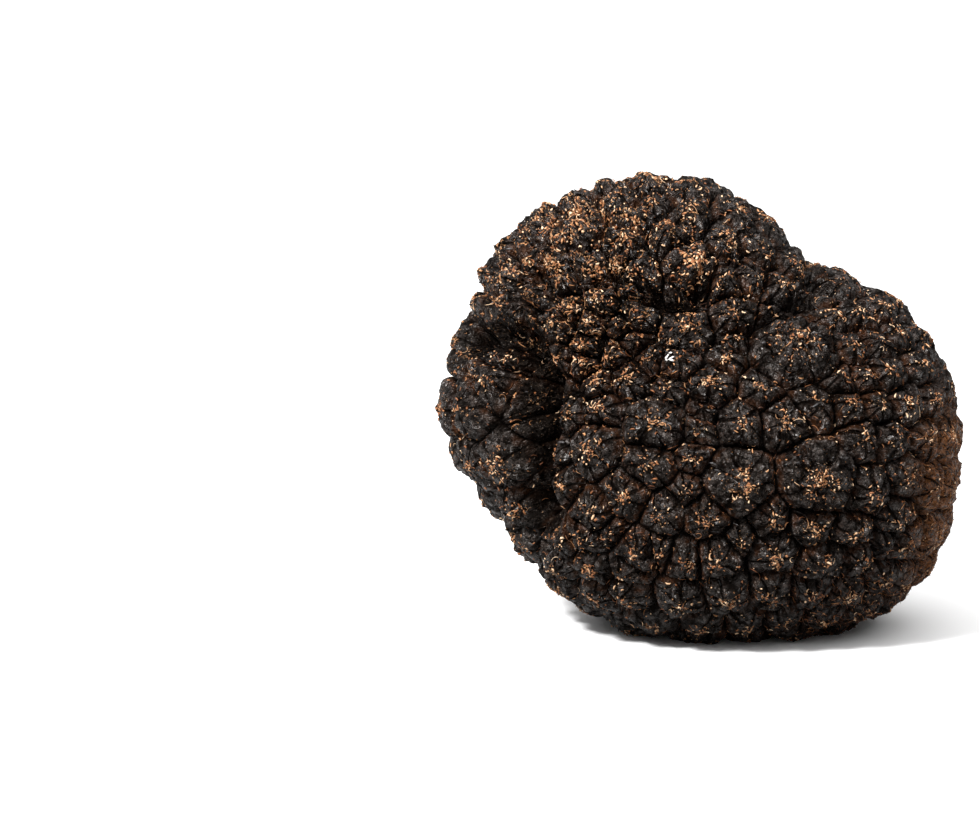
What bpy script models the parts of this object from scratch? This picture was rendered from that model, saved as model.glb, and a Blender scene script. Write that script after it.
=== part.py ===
"""Black truffle, whole and uncut: one grown body covered all over with low polygonal warts.

The body is a smooth union of six ellipsoid lobes. Its surface is divided into cells, one for
each wart, and each cell is raised from its groove to a shoulder, a crown and a low peak. The
underside is cut level, which gives the small flat spot that the truffle rests on.

Frame: +Z up, +X to the right along the longest side, -Y the front. The origin is the middle
of the resting face's level, under the centre of the bounding box.
"""

import math

import bmesh
import bpy
import numpy as np
from mathutils import Matrix, Vector

# Lengths in the lists below are millimetres. The mesh is in metres.
MM = 0.001

# Driving dimensions: the ellipsoid lobes as (centre, radii). Their union is about
# 60 wide, 46 deep and 53 high with the warts.
LOBES = {
    "belly": ((1.0, 0.0, 20.6), (24.0, 22.8, 21.5)),
    "right": ((14.2, -1.0, 23.0), (16.2, 19.4, 17.9)),
    "heel": ((13.8, 1.0, 13.2), (14.6, 15.4, 12.2)),
    "crown": ((-2.8, 1.0, 38.7), (14.9, 15.6, 13.8)),
    "shoulder": ((-12.0, 1.0, 36.2), (12.4, 14.6, 12.4)),
    "left": ((-17.0, 1.0, 26.8), (11.8, 14.6, 11.4)),
}
LOBE_BLEND = 2.2
HEART = (0.0, 0.0, 25.0)        # every radius of the body is measured from here
LARGEST_RADIUS = 60.0
HALVINGS = 30                   # steps that close in on the surface along a ray

# Warts: the groove lies this far under the lobes, and the rings of a wart step up from it.
GROOVE_DEPTH = 1.0
RING_STEPS = ((0.80, 1.0), (0.60, 0.35))   # (shrink about the middle, rise) of each ring
PEAK_RISE = 0.25
SHORTEST_EDGE = 0.7
WART_GAP = (4.3, 6.4)           # spacing of the warts that fill the sides, back and underside
FRONT_GAP = 5.0                 # and its limit where they fill in among the placed ones
FRONT_Y = -8.0                  # which is the part of the surface ahead of this
HALF_OF_GAP = 0.52              # half width of a filling wart, as a share of its spacing
CANDIDATES = 9000               # places tried for the filling warts
SEED = 7
ASKEW = (0.31, 0.52, 0.79)      # a direction that no wart points along, to count turns from

# The upper left is knobbier than the rest: (middle, reach, extra relief).
KNOBBY = ((-14.0, -8.0, 45.0), 22.0, 0.45)

# Folds of the body: (depth, half width, route as x, z over the front).
FOLDS = {
    "cleft": (3.6, 2.4, ((-28.5, 35.3), (-21.0, 36.3), (-19.8, 32.0), (-19.3, 27.0), (-18.6, 15.0))),
    "under_knob": (2.2, 1.3, ((-6.0, 42.2), (-1.5, 42.0), (0.5, 42.6))),
    "saddle": (1.4, 1.5, ((13.5, 43.5), (13.0, 39.5), (8.5, 38.4), (6.0, 37.0))),
}

# The warts of the front in rows from the top, each row left to right: (x, z, half width).
FRONT_WARTS = (
    (-14.5, 50.3, 2.6), (-11.0, 52.3, 2.6), (-9.3, 50.6, 2.2), (-5.3, 50.2, 2.4), (-5.2, 52.3, 2.6),
    (-1.6, 51.9, 2.6), (-18.8, 46.3, 2.5), (-17.0, 48.3, 2.6), (-13.4, 47.0, 2.8), (-12.8, 49.2, 2.0),
    (-8.4, 46.8, 2.6), (-8.0, 49.0, 2.4), (-3.2, 47.4, 2.6), (-1.5, 49.3, 2.6), (2.4, 47.0, 2.8),
    (4.0, 50.0, 2.6), (7.6, 48.3, 2.4), (-21.5, 44.4, 2.4), (-18.9, 43.7, 2.0), (-16.2, 44.4, 2.2),
    (-15.6, 42.2, 2.2), (-12.4, 43.7, 2.6), (-9.4, 45.3, 2.0), (-7.2, 43.9, 2.4), (-1.4, 44.8, 3.1),
    (2.3, 43.0, 2.4), (6.0, 43.5, 2.6), (6.8, 45.4, 2.4), (11.4, 43.0, 2.5), (-25.5, 38.6, 2.4),
    (-24.0, 41.5, 2.5), (-22.2, 39.4, 2.2), (-21.6, 42.0, 2.2), (-19.3, 38.7, 2.2), (-18.5, 41.2, 2.2),
    (-16.7, 38.0, 2.2), (-14.8, 40.0, 2.2), (-13.0, 38.3, 2.2), (-12.0, 40.8, 2.4), (-9.6, 38.3, 2.2),
    (-7.8, 42.0, 2.2), (-7.2, 39.7, 2.7), (-1.9, 41.3, 2.4), (3.2, 39.5, 2.8), (9.0, 41.7, 2.8),
    (-25.5, 36.4, 2.2), (-22.0, 37.0, 2.2), (-20.0, 34.3, 2.2), (-13.0, 35.8, 2.2), (-9.9, 34.7, 2.2),
    (-7.7, 36.8, 2.4), (-6.2, 34.3, 2.4), (-1.6, 37.9, 3.2), (3.0, 34.2, 2.2), (3.3, 36.6, 2.2),
    (10.6, 35.2, 4.8), (-27.3, 33.0, 2.4), (-24.3, 31.0, 2.2), (-23.3, 34.0, 2.2), (-21.0, 30.0, 2.2),
    (-16.8, 33.9, 2.2), (-16.8, 30.8, 2.2), (-13.6, 33.6, 2.2), (-12.2, 31.4, 2.2), (-8.8, 32.0, 2.5),
    (-4.2, 31.4, 2.2), (-2.3, 33.8, 2.6), (1.2, 31.9, 2.9), (6.5, 31.3, 2.7), (-19.0, 27.2, 2.2),
    (-15.5, 28.2, 2.4), (-12.0, 28.3, 2.4), (-5.6, 27.7, 3.7), (-0.9, 27.3, 2.0), (0.2, 29.4, 2.0),
    (4.3, 27.6, 2.9), (9.2, 27.4, 3.1), (-17.3, 23.4, 2.6), (-12.3, 24.6, 3.0), (-6.6, 23.0, 3.3),
    (-1.7, 23.6, 2.3), (-19.0, 18.2, 2.4), (-16.2, 20.0, 2.4), (-8.8, 19.4, 3.2), (-2.4, 20.2, 2.3),
    (4.2, 21.5, 4.0), (12.8, 21.9, 4.5), (19.2, 19.8, 2.7), (23.2, 20.6, 2.3), (26.6, 19.8, 2.2),
    (-12.5, 17.2, 2.8), (-10.2, 14.6, 2.0), (-4.4, 17.3, 2.7), (0.8, 17.0, 2.7), (4.4, 14.7, 2.1),
    (7.4, 17.0, 2.7), (12.4, 16.4, 2.9), (16.9, 15.4, 2.5), (22.4, 16.2, 2.6), (-16.2, 13.0, 2.3),
    (-13.2, 13.4, 2.2), (-7.6, 13.2, 2.6), (-4.8, 12.6, 2.0), (-1.9, 12.2, 2.4), (1.7, 12.0, 2.6),
    (8.7, 12.6, 2.8), (14.2, 11.6, 2.9), (18.4, 11.4, 2.4), (20.6, 13.2, 2.2), (23.3, 12.6, 2.4),
    (-15.4, 9.0, 2.3), (-12.0, 10.0, 2.5), (-11.5, 6.2, 2.4), (-8.6, 9.8, 2.2), (-7.6, 6.6, 2.6),
    (-2.4, 6.9, 2.7), (3.6, 7.4, 2.7), (8.4, 7.6, 2.6), (13.0, 7.8, 2.5), (17.4, 7.4, 2.4),
    (21.0, 8.2, 2.4), (-5.0, 3.0, 2.4), (0.5, 3.0, 2.4), (5.5, 3.2, 2.4), (10.5, 3.6, 2.4),
    # The right side above the middle, in the same order.
    (14.0, 40.9, 2.1), (16.9, 41.0, 2.0), (15.0, 38.4, 2.4), (18.7, 38.2, 2.2), (21.6, 38.2, 2.0),
    (17.0, 35.4, 2.5), (20.4, 35.2, 2.1), (23.2, 35.6, 2.0), (15.6, 32.4, 2.3), (18.7, 32.2, 2.2),
    (21.9, 32.2, 2.4), (25.2, 32.4, 2.1), (12.4, 29.2, 2.6), (16.7, 29.2, 2.4), (20.2, 29.0, 2.2),
    (23.6, 28.8, 2.3), (26.7, 29.0, 2.1), (18.2, 25.6, 2.4), (21.8, 25.6, 2.3), (25.3, 25.2, 2.3),
)

# Skin: near-black with a dull brown cast.
SKIN_COLOR = (0.022, 0.018, 0.016, 1.0)
SKIN_ROUGHNESS = 0.6


def lobe_depth(points):
    """Distance-like field of the body: under zero inside. The lobes' own fields are blended
    with a smooth minimum, so that they run into each other without a crease."""
    total = np.zeros(points.shape[:-1])
    for centre, radii in LOBES.values():
        scaled = (points - np.array(centre)) / np.array(radii)
        outside = (np.linalg.norm(scaled, axis=-1) - 1.0) * min(radii)
        total += np.exp(-outside / LOBE_BLEND)
    return -LOBE_BLEND * np.log(total)


def halve(inner, outer, point_at):
    """Where a ray leaves the body, by halving the stretch from inner to outer."""
    for _ in range(HALVINGS):
        middle = (inner + outer) / 2.0
        inside = lobe_depth(point_at(middle)) < 0.0
        inner = np.where(inside, middle, inner)
        outer = np.where(inside, outer, middle)
    return (inner + outer) / 2.0


def body_radius(directions):
    """Distance from the heart to the smooth body along each unit direction."""
    count = directions.shape[:-1]
    return halve(np.zeros(count), np.full(count, LARGEST_RADIUS),
                 lambda reach: HEART + directions * reach[..., None])


def unit(vectors):
    return vectors / np.linalg.norm(vectors, axis=-1, keepdims=True)


def front_point(places):
    """Points of the front surface at the given x, z places."""
    x, z = np.array(places, dtype=float).T
    y = halve(np.zeros(len(x)), np.full(len(x), -LARGEST_RADIUS),
              lambda depth: np.stack([x, depth, z], axis=-1))
    point = np.stack([x, y, z], axis=-1)
    direction = unit(point - HEART)
    return HEART + direction * body_radius(direction)[:, None]


def wart_places():
    """Middle of every wart on the smooth body, and its half width: the placed ones of the
    front, and then random ones that keep their distance from all before them."""
    placed = np.array(FRONT_WARTS)
    places = list(front_point(placed[:, :2]))
    halves = list(placed[:, 2])
    rng = np.random.default_rng(SEED)
    directions = unit(rng.normal(size=(CANDIDATES, 3)))
    candidates = HEART + directions * body_radius(directions)[:, None]
    gaps = rng.uniform(*WART_GAP, CANDIDATES)
    gaps = np.where(candidates[:, 1] < FRONT_Y, np.minimum(gaps, FRONT_GAP), gaps)
    for candidate, gap in zip(candidates, gaps):
        if np.linalg.norm(np.array(places) - candidate, axis=1).min() > gap:
            places.append(candidate)
            halves.append(gap * HALF_OF_GAP)
    return np.array(places), np.array(halves)


def fold_depth(points):
    """How far the folds press the surface in: a round-bottomed dip along each route."""
    depth = np.zeros(len(points))
    for deepest, half_width, route in FOLDS.values():
        line = front_point(route)
        nearest = np.full(len(points), np.inf)
        for start, end in zip(line[:-1], line[1:]):
            run = end - start
            along = np.clip((points - start) @ run / (run @ run), 0.0, 1.0)
            gap = np.linalg.norm(points - start - along[:, None] * run, axis=1)
            nearest = np.minimum(nearest, gap)
        depth = np.maximum(depth, deepest * np.exp(-((nearest / half_width) ** 2)))
    return depth


def cell_net(places, halves):
    """The warts' cells: the corners as unit directions, and each cell's corner numbers in
    order. The middles are put on a sphere, the wider warts a little proud of it, and wrapped
    in their convex hull: each flat face of the hull faces one corner of the net."""
    arms = places - HEART
    spans = halves / np.linalg.norm(arms, axis=1)
    hull = bmesh.new()
    for direction, span in zip(unit(arms), spans):
        hull.verts.new(direction / math.cos(span))
    bmesh.ops.convex_hull(hull, input=hull.verts)
    bmesh.ops.delete(hull, geom=[v for v in hull.verts if not v.link_faces], context="VERTS")
    hull.faces.index_update()
    hull.normal_update()
    corners = np.array([face.normal for face in hull.faces])
    cells = []
    for middle in hull.verts:
        numbers = np.array([face.index for face in middle.link_faces])
        centre = unit(corners[numbers].mean(axis=0))
        side = unit(np.cross(centre, ASKEW))
        up = np.cross(centre, side)
        turn = np.arctan2(corners[numbers] @ up, corners[numbers] @ side)
        cells.append(numbers[np.argsort(turn)])
    hull.free()
    return corners, cells


def relief_at(point):
    """Relief of the warts at a point, 1 over most of the body and more where it is knobby."""
    middle, reach, extra = KNOBBY
    away = (Vector(point) / MM - Vector(middle)).length / reach
    return 1.0 + extra * max(0.0, 1.0 - away)


def raise_warts(mesh):
    """Extrude every cell by itself, ring by ring, and poke its top to a low peak."""
    for shrink, rise in RING_STEPS:
        flat = [face for face in mesh.faces if face.tag]
        tops = bmesh.ops.extrude_discrete_faces(mesh, faces=flat)["faces"]
        for face in mesh.faces:
            face.tag = False
        for face in tops:
            face.tag = True
            middle = face.calc_center_median()
            out = (middle - Vector(HEART) * MM).normalized()
            about = Matrix.Translation(-middle)
            bmesh.ops.scale(mesh, vec=(shrink,) * 3, space=about, verts=face.verts)
            bmesh.ops.translate(mesh, vec=out * rise * relief_at(middle) * MM, verts=face.verts)
    bmesh.ops.poke(mesh, faces=[face for face in mesh.faces if face.tag], offset=PEAK_RISE * MM)


def cut_flat_spot(mesh):
    """Cut the underside level at z = 0 and close the cut with one flat face."""
    everything = list(mesh.verts) + list(mesh.edges) + list(mesh.faces)
    bmesh.ops.bisect_plane(mesh, geom=everything, plane_co=(0.0, 0.0, 0.0), plane_no=(0.0, 0.0, -1.0),
                           clear_outer=True)
    rim = [edge for edge in mesh.edges if edge.is_boundary]
    bmesh.ops.edgenet_fill(mesh, edges=rim)


def centre_on_origin(mesh):
    """Slide the body so that the middle of its box stands over the origin."""
    places = np.array([vert.co for vert in mesh.verts])
    middle = (places.min(axis=0) + places.max(axis=0)) / 2.0
    bmesh.ops.translate(mesh, vec=(-middle[0], -middle[1], 0.0), verts=mesh.verts)


def build_body():
    """The truffle as one closed mesh."""
    places, halves = wart_places()
    corners, cells = cell_net(places, halves)
    smooth = HEART + corners * body_radius(corners)[:, None]
    sunk = smooth - corners * (GROOVE_DEPTH + fold_depth(smooth))[:, None]
    mesh = bmesh.new()
    verts = [mesh.verts.new(place * MM) for place in sunk]
    for cell in cells:
        mesh.faces.new([verts[number] for number in cell])
    bmesh.ops.remove_doubles(mesh, verts=mesh.verts, dist=SHORTEST_EDGE * MM)
    for face in mesh.faces:
        face.tag = True
    raise_warts(mesh)
    cut_flat_spot(mesh)
    centre_on_origin(mesh)
    bmesh.ops.triangulate(mesh, faces=mesh.faces)
    bmesh.ops.recalc_face_normals(mesh, faces=mesh.faces)
    data = bpy.data.meshes.new("truffle")
    mesh.to_mesh(data)
    mesh.free()
    return data


def skin_material():
    """The dark skin, as a Principled BSDF."""
    material = bpy.data.materials.new("truffle_skin")
    material.use_nodes = True
    shader = material.node_tree.nodes["Principled BSDF"]
    shader.inputs["Base Color"].default_value = SKIN_COLOR
    shader.inputs["Roughness"].default_value = SKIN_ROUGHNESS
    shader.inputs["Metallic"].default_value = 0.0
    return material


def main():
    for old in list(bpy.data.objects):
        bpy.data.objects.remove(old, do_unlink=True)
    data = build_body()
    data.materials.append(skin_material())
    body = bpy.data.objects.new("truffle", data)
    bpy.context.scene.collection.objects.link(body)


main()
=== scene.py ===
"""Black truffle, whole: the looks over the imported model, laid out as a Blender add-on.

The skin is the same body as the CAD one, six ellipsoid lobes in a smooth union, with the same
warts, each strayed a little from its place there, worked out on a far finer grid: each wart has
its groove, its crown, radial cracks and facets. Tan flecks, grains, fibres and patches, dark and
grey scales, rust threads and a pale grain of soil lie on it.
Lengths inside the shape functions are millimetres; meshes are metres.
"""

import bpy
import numpy as np
from bpy.props import FloatProperty, FloatVectorProperty, IntProperty, PointerProperty
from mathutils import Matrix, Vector


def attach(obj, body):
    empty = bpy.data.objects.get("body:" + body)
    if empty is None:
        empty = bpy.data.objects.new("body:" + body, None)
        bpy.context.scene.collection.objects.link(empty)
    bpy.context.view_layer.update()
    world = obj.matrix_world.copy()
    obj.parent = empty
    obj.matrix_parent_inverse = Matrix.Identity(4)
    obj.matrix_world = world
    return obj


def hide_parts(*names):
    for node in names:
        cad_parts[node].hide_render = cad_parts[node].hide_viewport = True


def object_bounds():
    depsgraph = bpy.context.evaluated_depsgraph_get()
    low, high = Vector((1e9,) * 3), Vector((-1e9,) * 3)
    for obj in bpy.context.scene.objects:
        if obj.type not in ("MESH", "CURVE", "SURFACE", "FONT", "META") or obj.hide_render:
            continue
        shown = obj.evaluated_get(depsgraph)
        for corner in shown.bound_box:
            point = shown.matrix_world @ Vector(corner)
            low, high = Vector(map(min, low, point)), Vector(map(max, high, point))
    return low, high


bl_info = {
    "name": "Black Truffle",
    "version": (1, 0, 0),
    "blender": (4, 5, 0),
    "location": "View3D > Sidebar > Truffle",
    "description": "Makes the skin, flecks and stage of a whole black truffle",
    "category": "Object",
}

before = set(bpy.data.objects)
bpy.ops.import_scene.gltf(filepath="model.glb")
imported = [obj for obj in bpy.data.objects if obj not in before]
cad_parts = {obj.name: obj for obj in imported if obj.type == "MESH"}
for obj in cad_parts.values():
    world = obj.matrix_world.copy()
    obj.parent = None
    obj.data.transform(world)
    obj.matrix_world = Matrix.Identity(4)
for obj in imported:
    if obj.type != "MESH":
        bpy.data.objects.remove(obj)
CAD_BOUNDS = [list(corner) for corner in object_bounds()]     # metres

MM = 0.001
CAD_BOX = np.array(CAD_BOUNDS) / MM
SKIN = {}        # the finished skin's points, squares and values, for the pieces that lie on it

# The body: ellipsoid lobes as (centre, radii), as in the CAD part.
LOBES = {
    "belly": ((1.0, 0.0, 20.6), (24.0, 22.8, 21.5)),
    "right": ((14.2, -1.0, 23.0), (16.2, 19.4, 17.9)),
    "heel": ((13.8, 1.0, 13.2), (14.6, 15.4, 12.2)),
    "crown": ((-2.8, 1.0, 38.7), (14.9, 15.6, 13.8)),
    "shoulder": ((-12.0, 1.0, 36.2), (12.4, 14.6, 12.4)),
    "left": ((-17.0, 1.0, 26.8), (11.8, 14.6, 11.4)),
}
LOBE_BLEND = 2.2
HEART = (0.0, 0.0, 25.0)
LARGEST_RADIUS = 60.0
HALVINGS = 30
WART_GAP = (4.3, 6.4)
FRONT_GAP = 5.0
FRONT_Y = -8.0
HALF_OF_GAP = 0.52
CANDIDATES = 9000
SEED = 7
WART_STRAY = 0.45
KNOBBY = ((-14.0, -8.0, 45.0), 22.0, 0.22)
FOLDS = {
    "cleft": (3.6, 2.4, ((-28.5, 35.3), (-21.0, 36.3), (-19.8, 32.0), (-19.3, 27.0), (-18.6, 15.0))),
    "under_knob": (2.2, 1.3, ((-6.0, 42.2), (-1.5, 42.0), (0.5, 42.6))),
    "saddle": (1.4, 1.5, ((13.5, 43.5), (13.0, 39.5), (8.5, 38.4), (6.0, 37.0))),
}
# Patches of pale tan crust on the front: (x, z, reach).
PATCHES = ((-15.0, 39.7, 0.7), (-14.5, 49.0, 1.0), (-17.5, 47.0, 0.8), (-11.0, 50.0, 0.7),
           (-8.3, 49.0, 0.7), (-1.7, 45.0, 0.9))
GRAIN = (-4.6, 34.7, 0.3)       # a pale grain of soil: (x, z, reach)
GRAIN_CHIPS = 6
# How lines on the skin stray: (size of the waves, reach, seed).
FINE_WANDER = (1.2, 0.15, 5)
MARK_WANDER = (1.4, 0.45, 11)
FACET_WANDER = (1.0, 0.3, 31)
NODULE_WANDER = (0.9, 0.25, 61)
LUMP_WANDER = (1.6, 0.4, 65)
# Sizes of the waves whose reach is a setting.
GROOVE_WAVES = 3.1
ROW_WAVES = 6.5
FOLD_WAVES = 4.0
# A wart's height is shared out between its steep side, its shoulder and its crown.
STEEP_SHARE = 0.42
SHOULDER_SHARE = 0.18
CROWN_SHARE = 0.40
SHOULDER_RUN = 3.5
USUAL_HALF = 2.6
FEWEST_WEDGES = 5.0
MORE_WEDGES = 3.0
SLOW_SWING = 0.9
QUICK_SWING = 0.7
FULL_TURN = 6.283
WEDGE_TABLE = 16
LUMPY_EVERYWHERE = 0.12
# The warts of the front in rows from the top, each row left to right: (x, z, half width).
FRONT_WARTS = (
    (-14.5, 50.3, 2.6), (-11.0, 52.3, 2.6), (-9.3, 50.6, 2.2), (-5.3, 50.2, 2.4), (-5.2, 52.3, 2.6),
    (-1.6, 51.9, 2.6), (-18.8, 46.3, 2.5), (-17.0, 48.3, 2.6), (-13.4, 47.0, 2.8), (-12.8, 49.2, 2.0),
    (-8.4, 46.8, 2.6), (-8.0, 49.0, 2.4), (-3.2, 47.4, 2.6), (-1.5, 49.3, 2.6), (2.4, 47.0, 2.8),
    (4.0, 50.0, 2.6), (7.6, 48.3, 2.4), (-21.5, 44.4, 2.4), (-18.9, 43.7, 2.0), (-16.2, 44.4, 2.2),
    (-15.6, 42.2, 2.2), (-12.4, 43.7, 2.6), (-9.4, 45.3, 2.0), (-7.2, 43.9, 2.4), (-1.4, 44.8, 3.1),
    (2.3, 43.0, 2.4), (6.0, 43.5, 2.6), (6.8, 45.4, 2.4), (11.4, 43.0, 2.5), (-25.5, 38.6, 2.4),
    (-24.0, 41.5, 2.5), (-22.2, 39.4, 2.2), (-21.6, 42.0, 2.2), (-19.3, 38.7, 2.2), (-18.5, 41.2, 2.2),
    (-16.7, 38.0, 2.2), (-14.8, 40.0, 2.2), (-13.0, 38.3, 2.2), (-12.0, 40.8, 2.4), (-9.6, 38.3, 2.2),
    (-7.8, 42.0, 2.2), (-7.2, 39.7, 2.7), (-1.9, 41.3, 2.4), (3.2, 39.5, 2.8), (9.0, 41.7, 2.8),
    (-25.5, 36.4, 2.2), (-22.0, 37.0, 2.2), (-20.0, 34.3, 2.2), (-13.0, 35.8, 2.2), (-9.9, 34.7, 2.2),
    (-7.7, 36.8, 2.4), (-6.2, 34.3, 2.4), (-1.6, 37.9, 3.2), (3.0, 34.2, 2.2), (3.3, 36.6, 2.2),
    (10.6, 35.2, 4.8), (-27.3, 33.0, 2.4), (-24.3, 31.0, 2.2), (-23.3, 34.0, 2.2), (-21.0, 30.0, 2.2),
    (-16.8, 33.9, 2.2), (-16.8, 30.8, 2.2), (-13.6, 33.6, 2.2), (-12.2, 31.4, 2.2), (-8.8, 32.0, 2.5),
    (-4.2, 31.4, 2.2), (-2.3, 33.8, 2.6), (1.2, 31.9, 2.9), (6.5, 31.3, 2.7), (-19.0, 27.2, 2.2),
    (-15.5, 28.2, 2.4), (-12.0, 28.3, 2.4), (-5.6, 27.7, 3.7), (-0.9, 27.3, 2.0), (0.2, 29.4, 2.0),
    (4.3, 27.6, 2.9), (9.2, 27.4, 3.1), (-17.3, 23.4, 2.6), (-12.3, 24.6, 3.0), (-6.6, 23.0, 3.3),
    (-1.7, 23.6, 2.3), (-19.0, 18.2, 2.4), (-16.2, 20.0, 2.4), (-8.8, 19.4, 3.2), (-2.4, 20.2, 2.3),
    (4.2, 21.5, 4.0), (12.8, 21.9, 4.5), (19.2, 19.8, 2.7), (23.2, 20.6, 2.3), (26.6, 19.8, 2.2),
    (-12.5, 17.2, 2.8), (-10.2, 14.6, 2.0), (-4.4, 17.3, 2.7), (0.8, 17.0, 2.7), (4.4, 14.7, 2.1),
    (7.4, 17.0, 2.7), (12.4, 16.4, 2.9), (16.9, 15.4, 2.5), (22.4, 16.2, 2.6), (-16.2, 13.0, 2.3),
    (-13.2, 13.4, 2.2), (-7.6, 13.2, 2.6), (-4.8, 12.6, 2.0), (-1.9, 12.2, 2.4), (1.7, 12.0, 2.6),
    (8.7, 12.6, 2.8), (14.2, 11.6, 2.9), (18.4, 11.4, 2.4), (20.6, 13.2, 2.2), (23.3, 12.6, 2.4),
    (-15.4, 9.0, 2.3), (-12.0, 10.0, 2.5), (-11.5, 6.2, 2.4), (-8.6, 9.8, 2.2), (-7.6, 6.6, 2.6),
    (-2.4, 6.9, 2.7), (3.6, 7.4, 2.7), (8.4, 7.6, 2.6), (13.0, 7.8, 2.5), (17.4, 7.4, 2.4),
    (21.0, 8.2, 2.4), (-5.0, 3.0, 2.4), (0.5, 3.0, 2.4), (5.5, 3.2, 2.4), (10.5, 3.6, 2.4),
    # The right side above the middle, in the same order.
    (14.0, 40.9, 2.1), (16.9, 41.0, 2.0), (15.0, 38.4, 2.4), (18.7, 38.2, 2.2), (21.6, 38.2, 2.0),
    (17.0, 35.4, 2.5), (20.4, 35.2, 2.1), (23.2, 35.6, 2.0), (15.6, 32.4, 2.3), (18.7, 32.2, 2.2),
    (21.9, 32.2, 2.4), (25.2, 32.4, 2.1), (12.4, 29.2, 2.6), (16.7, 29.2, 2.4), (20.2, 29.0, 2.2),
    (23.6, 28.8, 2.3), (26.7, 29.0, 2.1), (18.2, 25.6, 2.4), (21.8, 25.6, 2.3), (25.3, 25.2, 2.3),
)


# ---------------------------------------------------------------- shape of the body

def unit(vectors):
    return vectors / np.linalg.norm(vectors, axis=-1, keepdims=True)


def lobe_depth(points):
    """Smooth minimum of the lobes' distance-like fields, -b log(sum(exp(-d / b))): under zero
    inside the body."""
    total = np.zeros(points.shape[:-1])
    for centre, radii in LOBES.values():
        scaled = (points - np.array(centre)) / np.array(radii)
        outside = (np.linalg.norm(scaled, axis=-1) - 1.0) * min(radii)
        total += np.exp(-outside / LOBE_BLEND)
    return -LOBE_BLEND * np.log(total)


def halve(inner, outer, point_at):
    """Where a ray leaves the body, by halving the stretch from inner to outer."""
    for _ in range(HALVINGS):
        middle = (inner + outer) / 2.0
        inside = lobe_depth(point_at(middle)) < 0.0
        inner = np.where(inside, middle, inner)
        outer = np.where(inside, outer, middle)
    return (inner + outer) / 2.0


def body_radius(directions):
    """Distance from the heart to the smooth body along each unit direction."""
    count = directions.shape[:-1]
    return halve(np.zeros(count), np.full(count, LARGEST_RADIUS),
                 lambda reach: HEART + directions * reach[..., None])


def body_normal(points):
    """Unit normal of the smooth body: the lobes' outward gradients, each weighted by
    exp(-d / b) as in their smooth minimum."""
    total = np.zeros_like(points)
    for centre, radii in LOBES.values():
        scaled = (points - np.array(centre)) / np.array(radii)
        size = np.linalg.norm(scaled, axis=-1, keepdims=True)
        share = np.exp(-(size - 1.0) * min(radii) / LOBE_BLEND) * min(radii)
        total += share * scaled / (np.array(radii) * size)
    return unit(total)


def front_point(places):
    """Points of the front surface at the given x, z places."""
    x, z = np.array(places, dtype=float).T
    y = halve(np.zeros(len(x)), np.full(len(x), -LARGEST_RADIUS),
              lambda depth: np.stack([x, depth, z], axis=-1))
    direction = unit(np.stack([x, y, z], axis=-1) - HEART)
    return HEART + direction * body_radius(direction)[:, None]


def wart_places():
    """Middle of every wart on the smooth body, and its half width, as the CAD part has them:
    the placed ones of the front, then random ones that keep their distance."""
    placed = np.array(FRONT_WARTS)
    places = list(front_point(placed[:, :2]))
    halves = list(placed[:, 2])
    rng = np.random.default_rng(SEED)
    directions = unit(rng.normal(size=(CANDIDATES, 3)))
    candidates = HEART + directions * body_radius(directions)[:, None]
    gaps = rng.uniform(*WART_GAP, CANDIDATES)
    gaps = np.where(candidates[:, 1] < FRONT_Y, np.minimum(gaps, FRONT_GAP), gaps)
    for candidate, gap in zip(candidates, gaps):
        if np.linalg.norm(np.array(places) - candidate, axis=1).min() > gap:
            places.append(candidate)
            halves.append(gap * HALF_OF_GAP)
    return np.array(places), np.array(halves)


def fold_depth(points):
    """How far the folds press the surface in: a round-bottomed dip along each route."""
    depth = np.zeros(len(points))
    for deepest, half_width, route in FOLDS.values():
        line = front_point(route)
        nearest = np.full(len(points), np.inf)
        for start, end in zip(line[:-1], line[1:]):
            run = end - start
            along = np.clip((points - start) @ run / (run @ run), 0.0, 1.0)
            gap = np.linalg.norm(points - start - along[:, None] * run, axis=1)
            nearest = np.minimum(nearest, gap)
        depth = np.maximum(depth, deepest * np.exp(-((nearest / half_width) ** 2)))
    return depth


# ---------------------------------------------------------------- patterns on arrays of points

def soft_noise(points, size, seed):
    """Value noise from -1 to 1: random numbers on a lattice of the given size, eased between."""
    table = np.random.default_rng(seed).uniform(-1.0, 1.0, (32, 32, 32))
    cell = np.floor(points / size).astype(int)
    part = points / size - cell
    part = part * part * (3.0 - 2.0 * part)
    total = 0.0
    for corner in np.ndindex(2, 2, 2):
        share = np.prod(np.where(corner, part, 1.0 - part), axis=-1)
        total = total + share * table[tuple(((cell + corner) % 32).T)]
    return total


def warp(points, size, reach, seed):
    """Soft noise along each axis, as an offset of up to the given reach."""
    return reach * np.stack([soft_noise(points, size, seed + k) for k in range(3)], axis=-1)


def facets(points, size, seed):
    """Cells of scattered points, one in each box of a lattice: the offset from the nearest
    one, a random vector of its cell, and how much further the second nearest one is."""
    rng = np.random.default_rng(seed)
    jitter = rng.uniform(0.1, 0.9, (16, 16, 16, 3))
    marks = rng.uniform(-1.0, 1.0, (16, 16, 16, 3))
    scaled = points / size
    home = np.floor(scaled).astype(int)
    first = np.full(len(points), np.inf)
    second = np.full(len(points), np.inf)
    offset = np.zeros_like(points)
    mark = np.zeros_like(points)
    for step in np.ndindex(3, 3, 3):
        box = home + np.array(step) - 1
        at = tuple((box % 16).T)
        away = scaled - box - jitter[at]
        gap = np.linalg.norm(away, axis=-1)
        nearer = gap < first
        second = np.where(nearer, first, np.minimum(second, gap))
        first = np.where(nearer, gap, first)
        offset = np.where(nearer[:, None], away, offset)
        mark = np.where(nearer[:, None], marks[at], mark)
    return offset * size, mark, (second - first) * size


def smoothstep(low, high, value):
    part = np.clip((value - low) / (high - low), 0.0, 1.0)
    return part * part * (3.0 - 2.0 * part)


# ---------------------------------------------------------------- the warty skin

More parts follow.
